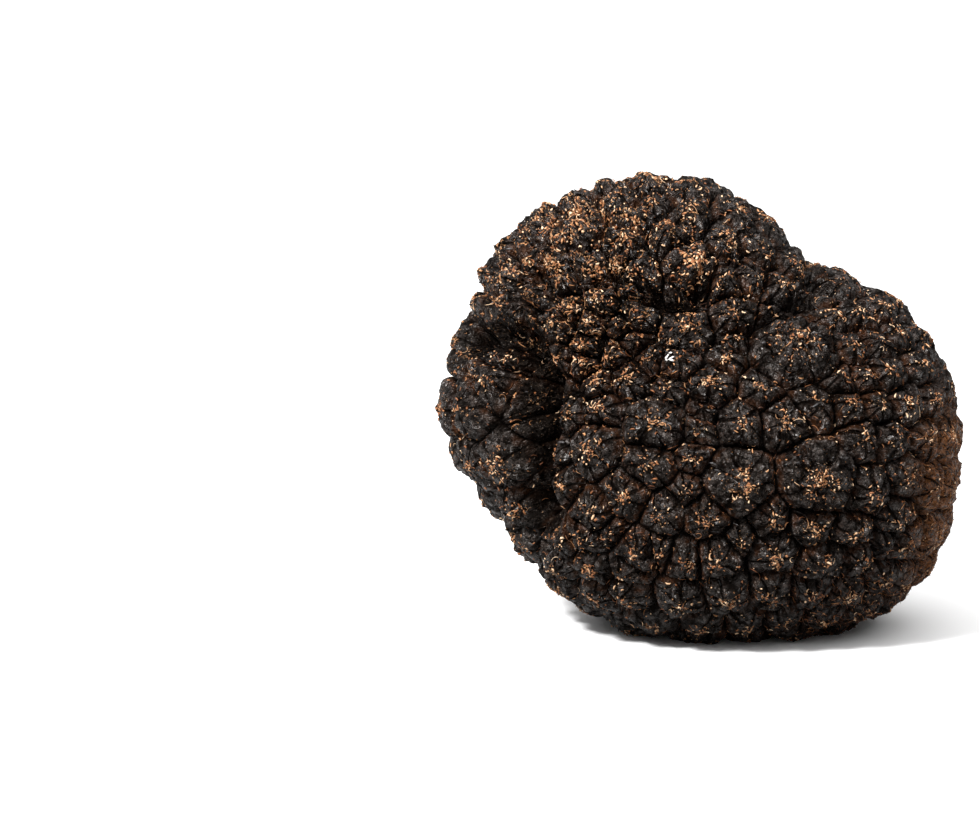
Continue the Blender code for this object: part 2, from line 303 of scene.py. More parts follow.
def cube_sphere(count):
    """Unit directions of a cube's grid of count x count squares a side, spaced by equal
    angles, and its squares as corner numbers, wound to face outwards."""
    step = np.arange(count + 1)
    a, b = np.meshgrid(step, step, indexing="ij")
    lattice = []
    squares = []
    for axis in range(3):
        for end in (0, count):
            side = np.empty((count + 1, count + 1, 3), dtype=int)
            side[..., axis] = end
            side[..., (axis + 1) % 3] = a
            side[..., (axis + 2) % 3] = b
            number = np.arange(side[..., 0].size).reshape(a.shape) + len(lattice) * side[..., 0].size
            square = np.stack([number[:-1, :-1], number[1:, :-1], number[1:, 1:], number[:-1, 1:]], -1)
            square = square.reshape(-1, 4)
            squares.append(square if end else square[:, ::-1])
            lattice.append(side.reshape(-1, 3))
    lattice, merged = np.unique(np.concatenate(lattice), axis=0, return_inverse=True)
    directions = unit(np.tan((lattice / count * 2.0 - 1.0) * np.pi / 4.0))
    return directions, merged.ravel()[np.concatenate(squares)]


class WartNet:
    """The warts' cells on the sphere of directions. A direction belongs to the wart whose
    arm, a little longer where the wart is wider, reaches furthest along it."""

    def __init__(self):
        self.places, self.halves = wart_places()
        strays = np.random.default_rng(SEED + 2).uniform(-WART_STRAY, WART_STRAY, self.places.shape)
        self.places = self.places + strays
        arms = self.places - HEART
        lengths = np.linalg.norm(arms, axis=1)
        self.arms = unit(arms) / np.cos(self.halves / lengths)[:, None]
        rng = np.random.default_rng(SEED + 1)
        count = len(self.arms)
        self.marks = rng.uniform(0.0, 1.0, (count, 3))
        self.across = unit(np.cross(self.arms, rng.normal(size=(count, 3))))
        self.up = np.cross(unit(self.arms), self.across)
        fill = rng.uniform(-0.3, 0.10, (count, count))
        self.fill = np.maximum(0.0, np.triu(fill) + np.triu(fill, 1).T)

    def owner(self, directions):
        """The wart of each direction, how far its border is, as a sine, the border's normal,
        which points at the neighbour, and how full of skin the groove there is."""
        wart = np.empty(len(directions), dtype=int)
        border = np.empty(len(directions))
        normal = np.empty_like(directions)
        full = np.empty(len(directions))
        for part in np.array_split(np.arange(len(directions)), 24):
            reach = directions[part] @ self.arms.T
            own = reach.argmax(axis=1)
            between = self.arms[own][:, None, :] - self.arms[None, :, :]
            size = np.linalg.norm(between, axis=-1)
            size[np.arange(len(part)), own] = 1.0
            gap = (reach[np.arange(len(part)), own][:, None] - reach) / size
            gap[np.arange(len(part)), own] = np.inf
            other = gap.argmin(axis=1)
            wart[part] = own
            border[part] = gap.min(axis=1)
            normal[part] = -unit(self.arms[own] - self.arms[other])
            full[part] = self.fill[own, other]
        return wart, border, normal, full


def crack_phase(angle, marks):
    """Phase that passes a whole turn at each radial crack of a wart: the angle times the
    number of wedges, swung by two slower waves so that the wedges differ in width."""
    wedges = np.floor(FEWEST_WEDGES + MORE_WEDGES * marks[:, 0])
    swing = SLOW_SWING * np.sin(angle + FULL_TURN * marks[:, 1])
    swing = swing + QUICK_SWING * np.sin(2.0 * angle + FULL_TURN * marks[:, 2])
    return wedges * angle + swing, wedges


def warty_skin(settings):
    """The skin's points, squares and surface values.

    Each direction's point is the smooth body's, sunk by the groove and the folds, and raised
    by its wart: steeply out of the groove and then gently to the crown. Radial cracks part
    the wart into wedges of slightly different height, and small tilted facets cover it."""
    net = WartNet()
    directions, squares = cube_sphere(settings.squares)
    radius = body_radius(directions)
    smooth = HEART + directions * radius[:, None]
    wander = warp(smooth, GROOVE_WAVES, settings.groove_wander, 1) + warp(smooth, *FINE_WANDER)
    wander = wander + warp(smooth, ROW_WAVES, settings.row_wander, 91)
    # Slide the grid's points that lie next to a groove onto it, so that its bottom is sharp.
    for _ in range(2):
        bent = unit(smooth + wander - HEART)
        _, border, normal, _ = net.owner(bent)
        miss = border * radius
        near = miss < settings.snap
        directions = unit(directions + np.where(near[:, None], normal * border[:, None], 0.0))
        radius = body_radius(directions)
        smooth = HEART + directions * radius[:, None]
    wart, border, _, full = net.owner(unit(smooth + wander - HEART))
    groove = border * radius + full
    marks = net.marks[wart]
    away = smooth + wander - net.places[wart] + warp(smooth, *MARK_WANDER)
    side = np.sum(away * net.across[wart], axis=-1)
    rise = np.sum(away * net.up[wart], axis=-1)
    out = np.hypot(side, rise)
    share = out / (out + groove + 1e-6)
    phase, wedges = crack_phase(np.arctan2(rise, side), marks)
    turn = phase / (2.0 * np.pi)
    crack = np.abs(turn - np.round(turn)) * 2.0 * np.pi / wedges * out
    wedge = np.floor(turn).astype(int) % WEDGE_TABLE
    wedge_table = np.random.default_rng(21).uniform(-1.0, 1.0, (len(net.halves), WEDGE_TABLE))

    middle, reach, extra = KNOBBY
    knobby = np.clip(1.0 - np.linalg.norm(smooth - middle, axis=1) / reach, 0.0, 1.0)
    scale = net.halves[wart] / USUAL_HALF
    steep = 1.0 - np.exp(-groove / settings.groove_width)
    shoulder = 1.0 - np.exp(-groove / (SHOULDER_RUN * settings.groove_width))
    crown = 1.0 - share ** 2
    raised = settings.wart_height * (STEEP_SHARE * steep + SHOULDER_SHARE * shoulder
                                     + CROWN_SHARE * crown * scale)
    open_crack = smoothstep(0.05, 0.45, share) * smoothstep(0.0, 0.5, groove + 0.2)
    narrow = np.exp(-((crack / settings.crack_width) ** 2))
    broad = np.exp(-((crack / settings.lobe_width) ** 2))
    raised -= (settings.crack_depth * narrow + settings.lobe_depth * broad) * open_crack
    raised += settings.wedge_step * wedge_table[wart, wedge] * smoothstep(0.15, 0.6, share) * steep
    tilt_at, tilt, seam = facets(smooth + warp(smooth, *FACET_WANDER), settings.facet_size, 41)
    raised += settings.facet_tilt * np.sum(tilt_at * tilt, axis=-1) * steep
    raised -= settings.facet_seam * np.exp(-(seam / 0.25) ** 2) * steep
    nodule_at, _, valley = facets(smooth + warp(smooth, *NODULE_WANDER), settings.nodule_size, 71)
    lumpy = np.clip(knobby + smoothstep(1.3, 1.8, scale), 0.0, 1.0)
    dome = 1.0 - (np.linalg.norm(nodule_at, axis=-1) / settings.nodule_size) ** 2 * 2.0
    raised += (settings.nodule_height * (LUMPY_EVERYWHERE + lumpy) * dome
               * smoothstep(0.0, 0.5, valley) * steep)
    lump_at, _, dip = facets(smooth + warp(smooth, *LUMP_WANDER), settings.lump_size, 75)
    dome = 1.0 - (np.linalg.norm(lump_at, axis=-1) / settings.lump_size) ** 2 * 2.0
    crease = np.exp(-((dip / 0.35) ** 2))
    raised += settings.lump_height * (LUMPY_EVERYWHERE + lumpy) * (0.7 * dome - 0.45 * crease) * steep
    raised += settings.roughness_height * soft_noise(smooth, 0.7, 51)
    raised += settings.knob_rise * smoothstep(0.05, 0.6, knobby) * (1.0 - share ** 2) * steep
    relief = (1.0 + extra * knobby) * raised
    fold = fold_depth(smooth + warp(smooth, FOLD_WAVES, settings.fold_wander, 95))
    sunk = settings.groove_depth + settings.fold_share * fold
    points = smooth + body_normal(smooth) * relief[:, None] - directions * sunk[:, None]
    points[:, 2] = np.maximum(points[:, 2], 0.0)
    middle = (points.min(axis=0) + points.max(axis=0)) / 2.0
    shift = CAD_BOX.mean(axis=0) - middle
    shift[2] = 0.0
    points = points + shift
    values = {
        "wart": np.stack([side, rise, groove], axis=-1),
        "mark": marks,
        "coat": np.stack([knobby, share, fold], axis=-1),
    }
    radial = unit(side[:, None] * net.across[wart] + rise[:, None] * net.up[wart])
    return points, squares, values, {"crack": crack, "radial": radial}


def mesh_from(name, points, squares, values):
    """A mesh object at the origin from points in millimetres, faces and named point values."""
    mesh = bpy.data.meshes.new(name)
    mesh.vertices.add(len(points))
    mesh.vertices.foreach_set("co", (points * MM).astype(np.float32).ravel())
    mesh.loops.add(squares.size)
    mesh.loops.foreach_set("vertex_index", squares.astype(np.int32).ravel())
    mesh.polygons.add(len(squares))
    mesh.polygons.foreach_set("loop_start", np.arange(0, squares.size, squares.shape[1], dtype=np.int32))
    mesh.update(calc_edges=True)
    mesh.validate()
    mesh.shade_smooth()
    for label, value in values.items():
        layer = mesh.attributes.new(label, "FLOAT_VECTOR", "POINT")
        layer.data.foreach_set("vector", value.astype(np.float32).ravel())
    piece = bpy.data.objects.new(name, mesh)
    bpy.context.scene.collection.objects.link(piece)
    return piece


# ---------------------------------------------------------------- node helpers

class Nodes:
    """Short calls for building a material's node tree. A value given as an input is either a
    number or colour, or a socket to link."""

    def __init__(self, name):
        self.material = bpy.data.materials.new(name)
        self.material.use_nodes = True
        self.tree = self.material.node_tree
        self.shader = self.tree.nodes["Principled BSDF"]
        self.output = self.tree.nodes["Material Output"]

    def put(self, socket, value):
        if isinstance(value, bpy.types.NodeSocket):
            self.tree.links.new(value, socket)
        else:
            socket.default_value = value

    def surface(self, label, value):
        """Set or link a socket of the shader."""
        self.put(self.shader.inputs[label], value)

    def add(self, kind, settings=None, **inputs):
        node = self.tree.nodes.new(kind)
        for label, value in (settings or {}).items():
            setattr(node, label, value)
        for label, value in inputs.items():
            self.put(node.inputs[label.replace("_", " ")], value)
        return node

    def math(self, operation, first, second=0.0, third=0.0):
        node = self.add("ShaderNodeMath", {"operation": operation})
        for socket, value in zip(node.inputs, (first, second, third)):
            self.put(socket, value)
        return node.outputs[0]

    def times(self, first, second):
        return self.math("MULTIPLY", first, second)

    def scaled(self, first, factor, added):
        return self.math("MULTIPLY_ADD", first, factor, added)

    def most(self, first, second):
        return self.math("MAXIMUM", first, second)

    def vector(self, operation, first, second=(0.0, 0.0, 0.0)):
        node = self.add("ShaderNodeVectorMath", {"operation": operation})
        self.put(node.inputs[0], first)
        self.put(node.inputs[1], second)
        return node.outputs[0]

    def scale(self, first, factor):
        node = self.add("ShaderNodeVectorMath", {"operation": "SCALE"})
        self.put(node.inputs[0], first)
        self.put(node.inputs["Scale"], factor)
        return node.outputs[0]

    def join(self, x, y, z):
        return self.add("ShaderNodeCombineXYZ", X=x, Y=y, Z=z).outputs[0]

    def split(self, vector):
        return self.add("ShaderNodeSeparateXYZ", Vector=vector).outputs

    def attribute(self, name):
        return self.add("ShaderNodeAttribute", {"attribute_name": name}).outputs["Vector"]

    def coordinates(self):
        """Object coordinates in millimetres."""
        place = self.add("ShaderNodeTexCoord").outputs["Object"]
        return self.scale(place, 1.0 / MM)

    def noise(self, vector, scale, detail=2.0, roughness=0.5, distortion=0.0):
        node = self.add("ShaderNodeTexNoise", Vector=vector, Scale=scale, Detail=detail,
                        Roughness=roughness, Distortion=distortion)
        return node.outputs[0]

    def chips(self, vector, scale):
        """Flat chips: the height over each cell of scattered points is a plane through its
        middle, tilted at random, in the vector's unit."""
        cell = self.add("ShaderNodeTexVoronoi", {"feature": "F1"}, Vector=vector, Scale=scale)
        offset = self.vector("SUBTRACT", vector, cell.outputs["Position"])
        tilt = self.vector("SUBTRACT", cell.outputs["Color"], (0.5, 0.5, 0.5))
        dot = self.add("ShaderNodeVectorMath", {"operation": "DOT_PRODUCT"})
        self.put(dot.inputs[0], offset)
        self.put(dot.inputs[1], tilt)
        return dot.outputs["Value"]

    def ridges(self, value):
        """Narrow crests where a noise passes its middle value, 1 on the crest."""
        apart = self.math("ABSOLUTE", self.math("SUBTRACT", value, 0.5))
        return self.math("SUBTRACT", 1.0, self.times(apart, 4.0))

    def ramp(self, value, low, high, start=0.0, end=1.0):
        """Smooth step of a value from low to high, mapped to start..end."""
        node = self.add("ShaderNodeMapRange", {"interpolation_type": "SMOOTHSTEP"})
        for label, number in (("Value", value), ("From Min", low), ("From Max", high),
                              ("To Min", start), ("To Max", end)):
            self.put(node.inputs[label], number)
        return node.outputs[0]

    def mix(self, factor, first, second):
        node = self.add("ShaderNodeMix", {"data_type": "RGBA"})
        self.put(node.inputs[0], factor)
        self.put(node.inputs[6], first)
        self.put(node.inputs[7], second)
        return node.outputs[2]

    def bump(self, height, distance, strength=1.0):
        return self.add("ShaderNodeBump", Height=height, Distance=distance, Strength=strength).outputs[0]


def rgba(color):
    return (*color, 1.0)


# Where a value starts and ends to count, for the skin's colours.
HAIR_CRACK = (0.04, 0.20)
CHIP_SEAM = (0.0, 0.09)
# Painted shade is mixed in over the low fine relief, the bottom of a groove and the depth of a fold; the
# brown beside a groove is its own colour.
CAVITY_SHADE = (-0.02, 0.16)
NEAR_GROOVE = (0.2, 0.9)
GROOVE_SHADE = (0.05, 0.4)
FOLD_SHADE = (0.35, 1.8)
# The right lower side, where brown wrinkles and painted light are mixed in.
RIM_X = (21.0, 28.0)
RIM_Z = (20.0, 32.0)
SHEEN_SLOPE = (-0.05, 0.14)
# Heights of the skin's fine relief, in millimetres; a flat chip's is a slope.
RELIEF = {"streak": 0.05, "crinkle": 0.06, "grain": 0.03, "flat_chips": 1.45, "small_chips": 0.75,
          "crack": -0.42, "chip": -0.10}


def skin_material(settings):
    """Charcoal skin: radial streaks and cracks on each wart, small facets, brown grooves and a
    scatter of tan dust that is thick at the crowns and over the knobby part. Painted shade darkens
    the cavities, cracks, grooves and folds, the pale streaks are painted highlights, and the right
    lower side has brown wrinkles with painted light."""
    nodes = Nodes("truffle_skin")
    place = nodes.coordinates()
    side, rise, groove = nodes.split(nodes.attribute("wart"))
    mark = nodes.attribute("mark")
    mark_parts = nodes.split(mark)
    knobby, share, fold = nodes.split(nodes.attribute("coat"))

    out = nodes.math("SQRT", nodes.math("ADD", nodes.times(side, side), nodes.times(rise, rise)))
    angle = nodes.math("ARCTAN2", rise, side)
    wedges = nodes.math("FLOOR", nodes.scaled(mark_parts[0], MORE_WEDGES, FEWEST_WEDGES))
    slow = nodes.math("SINE", nodes.scaled(mark_parts[1], FULL_TURN, angle))
    twice = nodes.times(angle, 2.0)
    quick = nodes.math("SINE", nodes.scaled(mark_parts[2], FULL_TURN, twice))
    swing = nodes.scaled(slow, SLOW_SWING, nodes.times(quick, QUICK_SWING))
    turn = nodes.math("DIVIDE", nodes.scaled(wedges, angle, swing), 2.0 * np.pi)
    apart = nodes.math("PINGPONG", turn, 0.5)
    arc = nodes.math("DIVIDE", nodes.times(out, 2.0 * np.pi), wedges)
    crack = nodes.times(apart, arc)
    crack_line = nodes.times(nodes.ramp(crack, *HAIR_CRACK, 1.0, 0.0), nodes.ramp(share, 0.08, 0.35))

    around = nodes.vector("NORMALIZE", nodes.join(side, rise, 0.0))
    streak_at = nodes.vector("ADD", nodes.scale(around, 3.2),
                             nodes.scale(nodes.join(0.0, 0.0, out), 0.8))
    streak_at = nodes.vector("ADD", streak_at, nodes.scale(mark, 40.0))
    streak = nodes.ridges(nodes.noise(streak_at, 1.5, 3.0, 0.6, 0.8))
    grain = nodes.noise(place, 4.5, 4.0, 0.65)
    crinkle = nodes.ridges(nodes.noise(place, 1.6, 3.0, 0.6, 1.2))
    blotch = nodes.noise(place, 0.5, 3.0, 0.55)
    chips = nodes.add("ShaderNodeTexVoronoi", {"feature": "DISTANCE_TO_EDGE"}, Vector=nodes.vector(
        "ADD", place, nodes.scale(nodes.noise(place, 1.4, 2.0), 1.0)), Scale=1.05).outputs["Distance"]
    chip_line = nodes.ramp(chips, *CHIP_SEAM, 1.0, 0.0)
    bent = nodes.vector("ADD", place, nodes.scale(nodes.noise(place, 1.1, 2.0), 0.7))
    flat_chips = nodes.chips(bent, 1.15)
    small_chips = nodes.chips(bent, 2.7)

    # Heights add up in millimetres, with the crack and chip lines cut in.
    height = nodes.times(streak, RELIEF["streak"])
    height = nodes.scaled(crinkle, RELIEF["crinkle"], height)
    height = nodes.scaled(grain, RELIEF["grain"], height)
    height = nodes.scaled(flat_chips, RELIEF["flat_chips"], height)
    height = nodes.scaled(small_chips, RELIEF["small_chips"], height)
    fine_height = height
    height = nodes.scaled(crack_line, RELIEF["crack"], height)
    height = nodes.scaled(chip_line, RELIEF["chip"], height)
    bump = nodes.bump(height, MM)

    body = nodes.mix(nodes.ramp(blotch, 0.35, 0.7), rgba(settings.char), rgba(settings.umber))
    # Painted shade: the low places of the fine relief are mixed towards black.
    dark = nodes.mix(nodes.ramp(fine_height, *CAVITY_SHADE), rgba(settings.black), body)
    # Painted highlight: the crests of the streaks and crinkles are mixed towards a pale grey.
    pale = nodes.most(nodes.ramp(streak, 0.88, 0.99), nodes.ramp(crinkle, 0.90, 0.99))
    pale = nodes.times(pale, nodes.ramp(nodes.noise(place, 0.9, 2.0), 0.36, 0.62))
    streak_highlight = nodes.mix(pale, dark, rgba(settings.streak_highlight))
    near_groove = nodes.ramp(groove, *NEAR_GROOVE, 1.0, 0.0)
    rusty = nodes.times(near_groove, nodes.ramp(nodes.noise(place, 0.28, 2.0), 0.42, 0.66))
    # The right lower side: real brown wrinkles, made brighter as painted light, first in rust and then
    # in a lighter bark brown.
    x, _, z = nodes.split(place)
    rim = nodes.times(nodes.ramp(x, *RIM_X), nodes.ramp(z, *RIM_Z, 1.0, 0.0))
    rim = nodes.times(rim, nodes.ramp(crinkle, 0.45, 0.95))
    rusty = nodes.most(nodes.times(rusty, 0.5), rim)
    rust = nodes.mix(nodes.times(rusty, 0.8), streak_highlight, rgba(settings.rust))
    bark_and_rim_light = nodes.mix(nodes.times(rim, 0.7), rust, rgba(settings.bark_and_rim_light))
    # Painted shade: hair cracks, chip seams, the bottoms of the grooves and the folds are mixed towards
    # black.
    lines = nodes.most(crack_line, nodes.times(chip_line, 0.5))
    lines = nodes.most(lines, nodes.ramp(groove, *GROOVE_SHADE, 1.0, 0.0))
    lines = nodes.most(lines, nodes.ramp(fold, *FOLD_SHADE, 0.0, 0.95))
    cut = nodes.mix(nodes.times(lines, 0.95), bark_and_rim_light, rgba(settings.black))

    crowded = nodes.scaled(nodes.ramp(share, 0.15, 0.8, 1.0, 0.0), 0.085, nodes.times(knobby, 0.06))
    dust_noise = nodes.noise(place, 3.6, 3.0, 0.6, 0.6)
    clumps = nodes.times(nodes.ramp(nodes.noise(place, 0.8, 2.0), 0.35, 0.65), crowded)
    level = nodes.math("SUBTRACT", 0.70, nodes.times(clumps, 1.6))
    dust = nodes.ramp(nodes.math("SUBTRACT", dust_noise, level), 0.0, 0.035)
    tan = nodes.mix(nodes.ramp(grain, 0.4, 0.6), rgba(settings.rust), rgba(settings.tan))
    color = nodes.mix(dust, cut, tan)
    nodes.surface("Base Color", color)
    gloss = nodes.ramp(nodes.noise(place, 0.9, 2.0), 0.38, 0.6, 0.46, 0.15)
    nodes.surface("Roughness", nodes.scaled(dust, 0.25, gloss))
    # The glossy coat lies on the open chips, and leaves out the cracks, the cavities and the dust.
    lit = nodes.ramp(fine_height, *SHEEN_SLOPE, 0.1 * settings.sheen, settings.sheen)
    lit = nodes.times(lit, nodes.scaled(lines, -0.95, 1.0))
    lit = nodes.times(lit, nodes.scaled(dust, -0.7, 1.0))
    nodes.surface("Coat Weight", lit)
    nodes.surface("Coat Roughness", settings.sheen_roughness)
    nodes.surface("Coat Normal", bump)
    nodes.surface("Specular IOR Level", settings.gloss)
    nodes.surface("Specular Tint", rgba(settings.gloss_tint))
    nodes.surface("Normal", bump)
    return nodes.material


def number_prop(label, text, value):
    return FloatProperty(name=label, description=text, default=value)


def color_prop(label, text, value):
    return FloatVectorProperty(name=label, description=text, subtype="COLOR", default=value)


class SkinSettings(bpy.types.PropertyGroup):
    """Sizes, in millimetres, and colours of the warty skin."""

    squares: IntProperty(name="Squares", description="Squares along each side of the grid",
                         default=129, min=8)
    groove_depth: number_prop("Groove depth", "How far the grooves lie under the lobes", 1.35)
    groove_width: number_prop("Groove width", "How fast a wart rises from its groove", 0.2)
    groove_wander: number_prop("Groove wander", "How far the grooves stray", 0.24)
    row_wander: number_prop("Row wander", "How far whole rows of warts stray", 0.3)
    fold_wander: number_prop("Fold wander", "How far the folds stray", 1.2)
    snap: number_prop("Snap", "Grid points this near a groove slide onto it", 0.2)
    wart_height: number_prop("Wart height", "Height of a crown over its groove", 2.15)
    crack_depth: number_prop("Crack depth", "Depth of the radial cracks", 0.16)
    crack_width: number_prop("Crack width", "Half width of the radial cracks", 0.18)
    lobe_depth: number_prop("Lobe depth", "Depth of the dips between a wart's lobes", 0.22)
    lobe_width: number_prop("Lobe width", "Half width of those dips", 0.55)
    wedge_step: number_prop("Wedge step", "How much a wart's wedges differ", 0.12)
    facet_size: number_prop("Facet size", "Width of the small facets", 1.5)
    facet_tilt: number_prop("Facet tilt", "Slope of the small facets", 0.24)
    facet_seam: number_prop("Facet seam", "Depth of the seams between facets", 0.08)
    nodule_size: number_prop("Nodule size", "Width of the small nodules", 1.35)
    nodule_height: number_prop("Nodule height", "Height of the nodules where it is knobby", 0.42)
    lump_size: number_prop("Lump size", "Width of the lumps on large and knobby warts", 2.3)
    lump_height: number_prop("Lump height", "Height of those lumps", 0.95)
    knob_rise: number_prop("Knob rise", "Extra height of the warts where it is knobby", 0.35)
    fold_share: number_prop("Fold share", "Depth of the folds against the body's own", 1.45)
    roughness_height: number_prop("Fine relief", "Height of the finest relief", 0.06)
    gloss: number_prop("Gloss", "Strength of the skin's own reflection", 0.06)
    sheen: number_prop("Sheen", "Strength of the gloss on the open chips", 0.74)
    sheen_roughness: number_prop("Sheen roughness", "Roughness of that gloss", 0.25)
    gloss_tint: color_prop("Gloss tint", "Colour of the skin's reflection", (1.0, 0.70, 0.50))
    # Painted shade: this black is mixed into the cavities, cracks, grooves and folds.
    black: color_prop("Black", "Colour in the cracks", (0.0010, 0.0006, 0.0005))
    char: color_prop("Charcoal", "Main colour", (0.0050, 0.0025, 0.0014))
    umber: color_prop("Umber", "Browner patches", (0.0120, 0.0052, 0.0026))
    # Painted highlight: the pale grey put on the raised streaks and crinkle crests.
    streak_highlight: color_prop("Ash", "Raised streaks", (0.052, 0.042, 0.037))
    rust: color_prop("Rust", "Brown beside the grooves", (0.090, 0.030, 0.0095))
    # Brown wrinkles with painted light on the right lower side.
    bark_and_rim_light: color_prop("Bark", "Wrinkles of the right foot", (0.24, 0.095, 0.034))
    tan: color_prop("Tan", "Dust on the crowns", (0.42, 0.24, 0.12))


class TRUFFLE_OT_skin(bpy.types.Operator):
    """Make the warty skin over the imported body"""

    bl_idname = "truffle.skin"
    bl_label = "Skin"

    def execute(self, context):
        settings = context.scene.truffle_skin
        points, squares, values, lines = warty_skin(settings)
        SKIN.update(points=points, squares=squares, values=values, **lines)
        skin = mesh_from("truffle_skin", points, squares, values)
        skin.data.materials.append(skin_material(settings))
        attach(skin, "root")
        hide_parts("truffle")
        return {"FINISHED"}


# ---------------------------------------------------------------- flecks, scales and threads

LEAST_HEIGHT = 0.02     # slivers are cut off level this far over the floor
FLECK_GLOSS = 0.35
FLECK_RELIEF = 0.06
# Each piece of slivers: its seed, and its sizes in millimetres and angles in radians.
SLIVERS = {
    "tan_flecks": (101, {"length": (0.2, 0.75), "width": (0.12, 0.34), "curl": (0.8, 4.2),
                         "lift": (-0.03, 0.09), "stand": 1.4, "thick": 0.5}),
    "tan_grains": (104, {"length": (0.10, 0.26), "width": (0.09, 0.22), "curl": (0.2, 0.6),
                         "lift": (-0.02, 0.04), "stand": 1.3}),
    "tan_fibres": (105, {"length": (0.7, 1.7), "width": (0.05, 0.09), "curl": (1.2, 4.2),
                         "lift": (0.02, 0.12), "stand": 0.5, "rings": 9}),
    "tan_patches": (106, {"length": (0.25, 0.7), "width": (0.2, 0.5), "curl": (0.4, 2.6),
                          "lift": (-0.03, 0.12), "stand": 1.0, "thick": 0.25}),
    "quartz_grain": (108, {"length": (0.4, 0.8), "width": (0.25, 0.45), "curl": (0.1, 0.4),
                           "lift": (0.0, 0.12), "stand": 1.4}),
    "dark_scales": (107, {"length": (0.4, 1.2), "width": (0.18, 0.5), "curl": (0.1, 1.0),
                          "lift": (-0.08, 0.0), "stand": 0.4, "thick": 0.22, "stray": 0.5}),
    "grey_scales": (102, {"length": (0.25, 0.6), "width": (0.10, 0.26), "curl": (0.1, 0.8),
                          "lift": (-0.05, 0.01), "stand": 0.4, "stray": 0.4, "thick": 0.3}),
    "rust_threads": (103, {"length": (0.3, 1.1), "width": (0.06, 0.15), "curl": (0.2, 2.0),
                           "lift": (0.0, 0.05), "stand": 0.8}),
}
# Shades of each stuff: dull, middle and bright colour, and roughness.
SHADES = {
    "quartz": ((0.45, 0.43, 0.42), (0.7, 0.68, 0.66), (0.9, 0.88, 0.86), 0.25),
    "dark_scale": ((0.0022, 0.0016, 0.0014), (0.0085, 0.0066, 0.0058), (0.045, 0.040, 0.040), 0.3),
    "rust_thread": ((0.04, 0.012, 0.004), (0.14, 0.045, 0.014), (0.40, 0.17, 0.06), 0.55),
}
CLUMP_SIZE = 0.9
PATCH_SIZE = 2.6
CRACK_REACH = 0.28
CROWN_REACH = 0.36
# Where the rust threads crowd: the right rim and the right foot, as stretches of x and -z.
# On the right rim the crowded bright threads stand partly for painted light as well as for brown
# wrinkles.
THREAD_RIM = ((20.0, 27.0), (-32.0, -20.0))
THREAD_FOOT = ((8.0, 15.0), (-11.0, -6.0))
THREAD_CROWD = 3.0
# Tones of the grey scales; with the grey setting, their pale end is partly a painted highlight that
# stands in for fine glints.
DULL_GREY = (0.010, 0.009, 0.009)
MIDDLE_GREY = (0.04, 0.037, 0.037)


def pick_places(points, squares, weight, count, rng):
    """Random points on the skin, as many where the weight is high as its share: the points,
    the unit normals there and the numbers of the squares."""
    corner = points[squares]
    cross = np.cross(corner[:, 2] - corner[:, 0], corner[:, 3] - corner[:, 1])
    area = np.linalg.norm(cross, axis=1)
    chance = area * weight[squares].mean(axis=1)
    square = rng.choice(len(squares), count, p=chance / chance.sum())
    share = rng.dirichlet((1.0, 1.0, 1.0, 1.0), count)
    place = np.einsum("ik,ikj->ij", share, corner[square])
    return place, cross[square] / area[square][:, None], square


def slivers(place, normal, heading, rng, length, width, curl, lift, stand, stray=1.0, thick=0.7,
            rings=4):
    """Bent slivers, all at once. Each follows an arc of a circle, sin(ks)/k along and
    (1 - cos(ks))/k across, where s runs along its length and k is its curl over the length.
    The arc's plane leans between the surface and upright. It points along its heading,
    strayed at random and laid on the surface. The three-sided section is widest in the middle.
    Returns the points, the triangles and the number of points of each sliver."""
    count = len(place)
    long = rng.uniform(*length, count)
    wide = rng.uniform(*width, count)
    bend = rng.uniform(*curl, count) * rng.choice((-1.0, 1.0), count)
    lean = rng.uniform(0.0, stand, count)
    pointing = heading + stray * rng.normal(size=(count, 3))
    along = unit(pointing - normal * np.sum(pointing * normal, axis=1)[:, None])
    across = np.cross(normal, along)
    inward = across * np.cos(lean)[:, None] + normal * np.sin(lean)[:, None]
    t = np.linspace(-0.5, 0.5, rings)
    turn = bend[:, None] * t
    radius = (long / bend)[:, None]
    run = (np.sin(turn) * radius)[..., None]
    off = ((1.0 - np.cos(turn)) * radius)[..., None]
    middle = (place + normal * rng.uniform(*lift, count)[:, None])[:, None, :]
    middle = middle + along[:, None, :] * run + inward[:, None, :] * off
    ahead = along[:, None, :] * np.cos(turn)[..., None] + inward[:, None, :] * np.sin(turn)[..., None]
    outward = np.broadcast_to(normal[:, None, :], ahead.shape)
    sideways = unit(np.cross(ahead, outward))
    upward = np.cross(sideways, ahead)
    taper = np.sqrt(np.clip(1.0 - (2.0 * t) ** 2, 0.0, 1.0)) * 0.8 + 0.2
    half = (wide[:, None] / 2.0 * taper)[..., None]
    sides = []
    for angle in np.radians((90.0, 210.0, 330.0)):
        sides.append(middle + half * (sideways * np.cos(angle) + upward * (thick * np.sin(angle))))
    points = np.stack(sides, axis=2)
    triangles = []
    for ring in range(rings - 1):
        for side in range(3):
            a = ring * 3 + side
            b = ring * 3 + (side + 1) % 3
            triangles += [(a, b, b + 3), (a, b + 3, a + 3)]
    last = (rings - 1) * 3
    triangles += [(0, 2, 1), (last, last + 1, last + 2)]
    first = np.arange(count)[:, None, None] * rings * 3
    return points.reshape(-1, 3), (first + np.array(triangles)).reshape(-1, 3), rings * 3


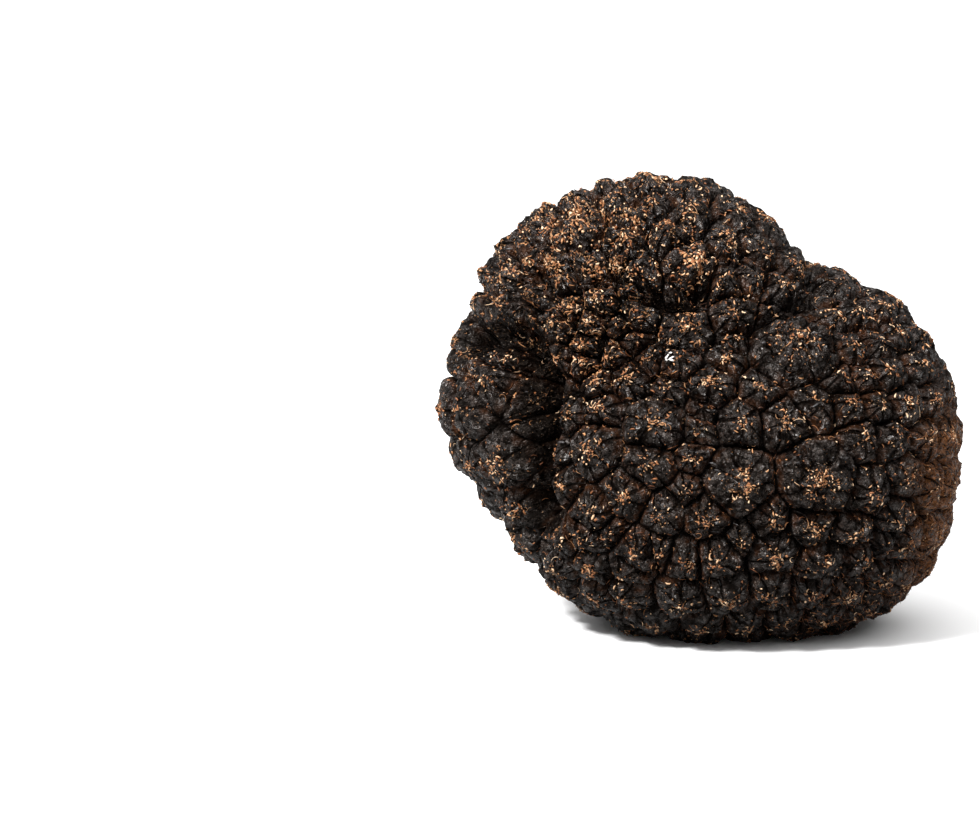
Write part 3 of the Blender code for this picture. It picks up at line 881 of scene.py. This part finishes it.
def fleck_material(name, dull, mid, bright, roughness):
    """Dry flake: each fleck has its own shade between the dull and the bright colour, and a
    mottled surface."""
    nodes = Nodes(name)
    tone = nodes.split(nodes.attribute("tone"))
    place = nodes.coordinates()
    mottle = nodes.noise(place, 6.0, 3.0)
    lower = nodes.mix(nodes.ramp(tone[0], 0.0, 0.55), rgba(dull), rgba(mid))
    shade = nodes.mix(nodes.ramp(tone[0], 0.5, 1.0), lower, rgba(bright))
    color = nodes.mix(nodes.ramp(mottle, 0.4, 0.7, 0.0, 0.5), shade, rgba(dull))
    nodes.surface("Base Color", color)
    nodes.surface("Roughness", roughness)
    nodes.surface("Specular IOR Level", FLECK_GLOSS)
    nodes.surface("Normal", nodes.bump(nodes.times(mottle, FLECK_RELIEF), MM))
    return nodes.material


def near_places(points, spots):
    """From 0 to 1, how near the front's points are to any spot: exp(-(distance / reach)^2)."""
    near = np.zeros(len(points))
    for x, z, reach in spots:
        away = np.hypot(points[:, 0] - x, points[:, 2] - z)
        near = np.maximum(near, np.exp(-((away / reach) ** 2)) * (points[:, 1] < 0.0))
    return near


def right_end(points, across, down):
    """From 0 to 1, how far points lie into a stretch of x and a stretch of -z."""
    return smoothstep(*across, points[:, 0]) * smoothstep(*down, -points[:, 2])


def scatter(name, skin, weight, count, material, radial=0.0):
    """A piece of slivers scattered over the skin by weight, which point out from the middles
    of the warts as far as radial says."""
    seed, shape = SLIVERS[name]
    rng = np.random.default_rng(seed)
    place, normal, square = pick_places(skin["points"], skin["squares"], weight, count, rng)
    heading = radial * skin["radial"][skin["squares"][square, 0]]
    points, triangles, each = slivers(place, normal, heading, rng, **shape)
    points[:, 2] = np.maximum(points[:, 2], LEAST_HEIGHT)
    tone = np.repeat(rng.uniform(0.0, 1.0, (count, 3)) ** 1.5, each, axis=0)
    piece = mesh_from(name, points, triangles, {"tone": tone})
    piece.data.materials.append(material)
    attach(piece, "root")
    return piece


class FleckSettings(bpy.types.PropertyGroup):
    """How many flecks of each kind, and their colours."""

    tan_count: IntProperty(name="Tan flecks", description="Number of tan flecks", default=9500)
    patch_count: IntProperty(name="Tan patches", description="Flakes in the tan patches", default=420)
    scale_count: IntProperty(name="Dark scales", description="Number of dark scales", default=6000)
    grain_count: IntProperty(name="Tan grains", description="Number of small tan grains", default=5500)
    fibre_count: IntProperty(name="Tan fibres", description="Number of long thin fibres", default=500)
    pale_count: IntProperty(name="Pale scales", description="Number of fine grey scales", default=2400)
    rust_count: IntProperty(name="Rust threads", description="Number of threads by the grooves",
                            default=7500)
    ochre: color_prop("Ochre", "Dull end of the tan flecks", (0.20, 0.066, 0.020))
    tan: color_prop("Tan", "Middle of the tan flecks", (0.46, 0.22, 0.092))
    peach: color_prop("Peach", "Bright end of the tan flecks", (0.85, 0.60, 0.38))
    # Painted highlight in part: the pale end of the grey scales stands in for fine glints.
    grey: color_prop("Grey", "Fine scales", (0.14, 0.125, 0.12))


class TRUFFLE_OT_flecks(bpy.types.Operator):
    """Scatter the tan flecks, the scales, the rust threads and the pale grain over the skin"""

    bl_idname = "truffle.flecks"
    bl_label = "Flecks"

    def execute(self, context):
        settings = context.scene.truffle_flecks
        skin = SKIN
        knobby, share, fold = skin["values"]["coat"].T
        groove = skin["values"]["wart"][:, 2]
        points = skin["points"]
        clump = smoothstep(0.05, 0.55, soft_noise(points, CLUMP_SIZE, 81))
        patch = smoothstep(-0.1, 0.6, soft_noise(points, PATCH_SIZE, 84))
        by_crack = np.exp(-((skin["crack"] / CRACK_REACH) ** 2))
        crown = np.exp(-((share / CROWN_REACH) ** 2)) * (0.05 + 1.5 * clump + 0.6 * by_crack)
        open_skin = smoothstep(0.05, 0.35, groove) * np.exp(-fold)
        scurf = smoothstep(0.02, 0.5, knobby) * (0.04 + 1.3 * clump * patch + 0.15 * clump)
        tan_weight = (crown + 0.04 + scurf) * open_skin
        tan = fleck_material("tan_fleck", settings.ochre, settings.tan, settings.peach, 0.5)
        scatter("tan_flecks", skin, tan_weight, settings.tan_count, tan, radial=0.4)
        scatter("tan_grains", skin, tan_weight, settings.grain_count, tan)
        scatter("tan_fibres", skin, 0.3 * crown + scurf + 0.1, settings.fibre_count, tan)
        scatter("tan_patches", skin, near_places(points, PATCHES) + 1e-6, settings.patch_count, tan)
        quartz = fleck_material("quartz", *SHADES["quartz"])
        scatter("quartz_grain", skin, near_places(points, (GRAIN,)), GRAIN_CHIPS, quartz)
        scale = fleck_material("dark_scale", *SHADES["dark_scale"])
        scatter("dark_scales", skin, (0.4 + clump) * open_skin, settings.scale_count, scale, radial=1.0)
        # Grey scales: real scales whose pale grey is partly a painted highlight.
        grey = fleck_material("grey_scale", DULL_GREY, MIDDLE_GREY, settings.grey, 0.35)
        scatter("grey_scales", skin, (0.3 + clump) * open_skin, settings.pale_count, grey, radial=1.0)
        rust = fleck_material("rust_thread", *SHADES["rust_thread"])
        edge = np.exp(-(((groove - 0.4) / 0.3) ** 2)) * (0.2 + clump)
        rim = right_end(points, *THREAD_RIM)
        foot = right_end(points, *THREAD_FOOT)
        weight = edge + THREAD_CROWD * np.maximum(rim, foot)
        scatter("rust_threads", skin, weight, settings.rust_count, rust)
        return {"FINISHED"}


# ---------------------------------------------------------------- stage

LIT_POINT = (0.0, 0.0, 0.026)
SOFTBOX_PLACE = (-0.23, -0.28, 0.34)
SOFTBOX_SIZE = (0.07, 0.07)
BANK_SPREAD = np.radians(100.0)
BANK_WAY = (0.05, 0.20, -0.97)
FLOOR_WHITE = (0.97, 0.97, 0.97)
FLOOR_CORNERS = 9
FLOOR_DROP = 0.02       # millimetres under z = 0


class StageSettings(bpy.types.PropertyGroup):
    """Camera, floor and lights."""

    aim: FloatVectorProperty(name="Aim", description="Point that the camera looks at",
                             subtype="TRANSLATION", default=(-0.0244, 0.0, 0.0261))
    elevation: FloatProperty(name="Elevation", description="Camera's angle above the horizon",
                             subtype="ANGLE", default=np.radians(9.0))
    distance: FloatProperty(name="Distance", description="Camera to aim", subtype="DISTANCE",
                            default=0.33)
    view_width: FloatProperty(name="View width", description="Width of the view at the aim",
                              subtype="DISTANCE", default=0.1146)
    floor_size: FloatProperty(name="Floor size", description="Side of the floor", subtype="DISTANCE",
                              default=24.0)
    bounce: number_prop("Bounce", "Share of light that the floor throws back up", 0.35)
    key_power: FloatProperty(name="Key power", description="Power of the softbox", subtype="POWER",
                             default=4.8)
    sun_strength: number_prop("Overhead strength", "Light from the wide overhead bank", 4.0)
    sky: number_prop("Surroundings", "Light from the pale surroundings", 0.24)
    backdrop: number_prop("Backdrop", "Brightness of the white backdrop", 1.0)


def area_light(name, place, target, size, power):
    lamp = bpy.data.lights.new(name, "AREA")
    lamp.shape = "RECTANGLE"
    lamp.size, lamp.size_y = size
    lamp.energy = power
    light = bpy.data.objects.new(name, lamp)
    light.location = place
    light.rotation_euler = (Vector(target) - Vector(place)).to_track_quat("-Z", "Y").to_euler()
    bpy.context.scene.collection.objects.link(light)


def studio_world(settings):
    """Pale surroundings that light the scene evenly, before a white backdrop."""
    world = bpy.data.worlds.new("studio")
    world.use_nodes = True
    tree = world.node_tree
    glow = tree.nodes["Background"]
    glow.inputs["Color"].default_value = (1.0, 1.0, 1.0, 1.0)
    glow.inputs["Strength"].default_value = settings.sky
    white = tree.nodes.new("ShaderNodeBackground")
    white.inputs["Color"].default_value = (1.0, 1.0, 1.0, 1.0)
    white.inputs["Strength"].default_value = settings.backdrop
    seen = tree.nodes.new("ShaderNodeLightPath")
    either = tree.nodes.new("ShaderNodeMixShader")
    tree.links.new(seen.outputs["Is Camera Ray"], either.inputs[0])
    tree.links.new(glow.outputs[0], either.inputs[1])
    tree.links.new(white.outputs[0], either.inputs[2])
    tree.links.new(either.outputs[0], tree.nodes["World Output"].inputs["Surface"])
    return world


def floor_piece(size, bounce):
    """A flat square of 8 x 8 squares just under z = 0: white where it is seen directly, and a
    grey of the given bounce for the light that it throws back up."""
    step = np.linspace(-size / 2.0, size / 2.0, FLOOR_CORNERS) / MM
    x, y = np.meshgrid(step, step, indexing="ij")
    points = np.stack([x, y, np.full_like(x, -FLOOR_DROP)], axis=-1).reshape(-1, 3)
    number = np.arange(FLOOR_CORNERS ** 2).reshape(FLOOR_CORNERS, FLOOR_CORNERS)
    squares = np.stack([number[:-1, :-1], number[1:, :-1], number[1:, 1:], number[:-1, 1:]], -1)
    piece = mesh_from("floor", points, squares.reshape(-1, 4), {})
    nodes = Nodes("floor_white")
    nodes.surface("Base Color", rgba(FLOOR_WHITE))
    nodes.surface("Roughness", 0.9)
    nodes.surface("Specular IOR Level", 0.0)
    grey = nodes.add("ShaderNodeBsdfDiffuse", Color=(bounce, bounce, bounce, 1.0)).outputs[0]
    either = nodes.add("ShaderNodeMixShader")
    nodes.put(either.inputs[0], nodes.add("ShaderNodeLightPath").outputs["Is Camera Ray"])
    nodes.put(either.inputs[1], grey)
    nodes.put(either.inputs[2], nodes.shader.outputs[0])
    nodes.put(nodes.output.inputs["Surface"], either.outputs[0])
    piece.data.materials.append(nodes.material)
    return piece


class TRUFFLE_OT_stage(bpy.types.Operator):
    """Make the floor, the lights and the camera"""

    bl_idname = "truffle.stage"
    bl_label = "Stage"

    def execute(self, context):
        settings = context.scene.truffle_stage
        scene = context.scene
        floor_piece(settings.floor_size, settings.bounce)
        scene.world = studio_world(settings)
        area_light("softbox", SOFTBOX_PLACE, LIT_POINT, SOFTBOX_SIZE, settings.key_power)
        bank = bpy.data.lights.new("overhead_bank", "SUN")
        bank.energy = settings.sun_strength
        bank.angle = BANK_SPREAD
        overhead = bpy.data.objects.new("overhead_bank", bank)
        overhead.rotation_euler = Vector(BANK_WAY).to_track_quat("-Z", "Y").to_euler()
        scene.collection.objects.link(overhead)
        aim = Vector(settings.aim)
        back = Vector((0.0, -np.cos(settings.elevation), np.sin(settings.elevation)))
        lens = bpy.data.cameras.new("camera")
        lens.sensor_width = 36.0
        lens.lens = lens.sensor_width * settings.distance / settings.view_width
        lens.clip_start = 0.01
        lens.clip_end = 100.0
        camera = bpy.data.objects.new("camera", lens)
        camera.location = aim + back * settings.distance
        camera.rotation_euler = (-back).to_track_quat("-Z", "Y").to_euler()
        scene.collection.objects.link(camera)
        scene.camera = camera
        scene.view_settings.view_transform = "Standard"
        scene.view_settings.look = "None"
        return {"FINISHED"}


class TRUFFLE_PT_sidebar(bpy.types.Panel):
    """Lists the makers and their settings"""

    bl_idname = "TRUFFLE_PT_sidebar"
    bl_label = "Black truffle"
    bl_space_type = "VIEW_3D"
    bl_region_type = "UI"
    bl_category = "Truffle"

    def draw(self, context):
        for operator, group in MAKERS:
            self.layout.operator(operator)
            settings = getattr(context.scene, group)
            for label in settings.__annotations__:
                self.layout.prop(settings, label)


MAKERS = (
    ("truffle.skin", "truffle_skin"),
    ("truffle.flecks", "truffle_flecks"),
    ("truffle.stage", "truffle_stage"),
)
GROUPS = {"truffle_skin": SkinSettings, "truffle_flecks": FleckSettings, "truffle_stage": StageSettings}
CLASSES = (SkinSettings, FleckSettings, StageSettings, TRUFFLE_OT_skin, TRUFFLE_OT_flecks,
           TRUFFLE_OT_stage, TRUFFLE_PT_sidebar)


def register():
    for kind in CLASSES:
        bpy.utils.register_class(kind)
    for name, group in GROUPS.items():
        setattr(bpy.types.Scene, name, PointerProperty(type=group))


def unregister():
    for name in GROUPS:
        delattr(bpy.types.Scene, name)
    for kind in reversed(CLASSES):
        bpy.utils.unregister_class(kind)


def main():
    register()
    for operator, _ in MAKERS:
        group, name = operator.split(".")
        getattr(getattr(bpy.ops, group), name)()


if __name__ == "__main__":
    main()
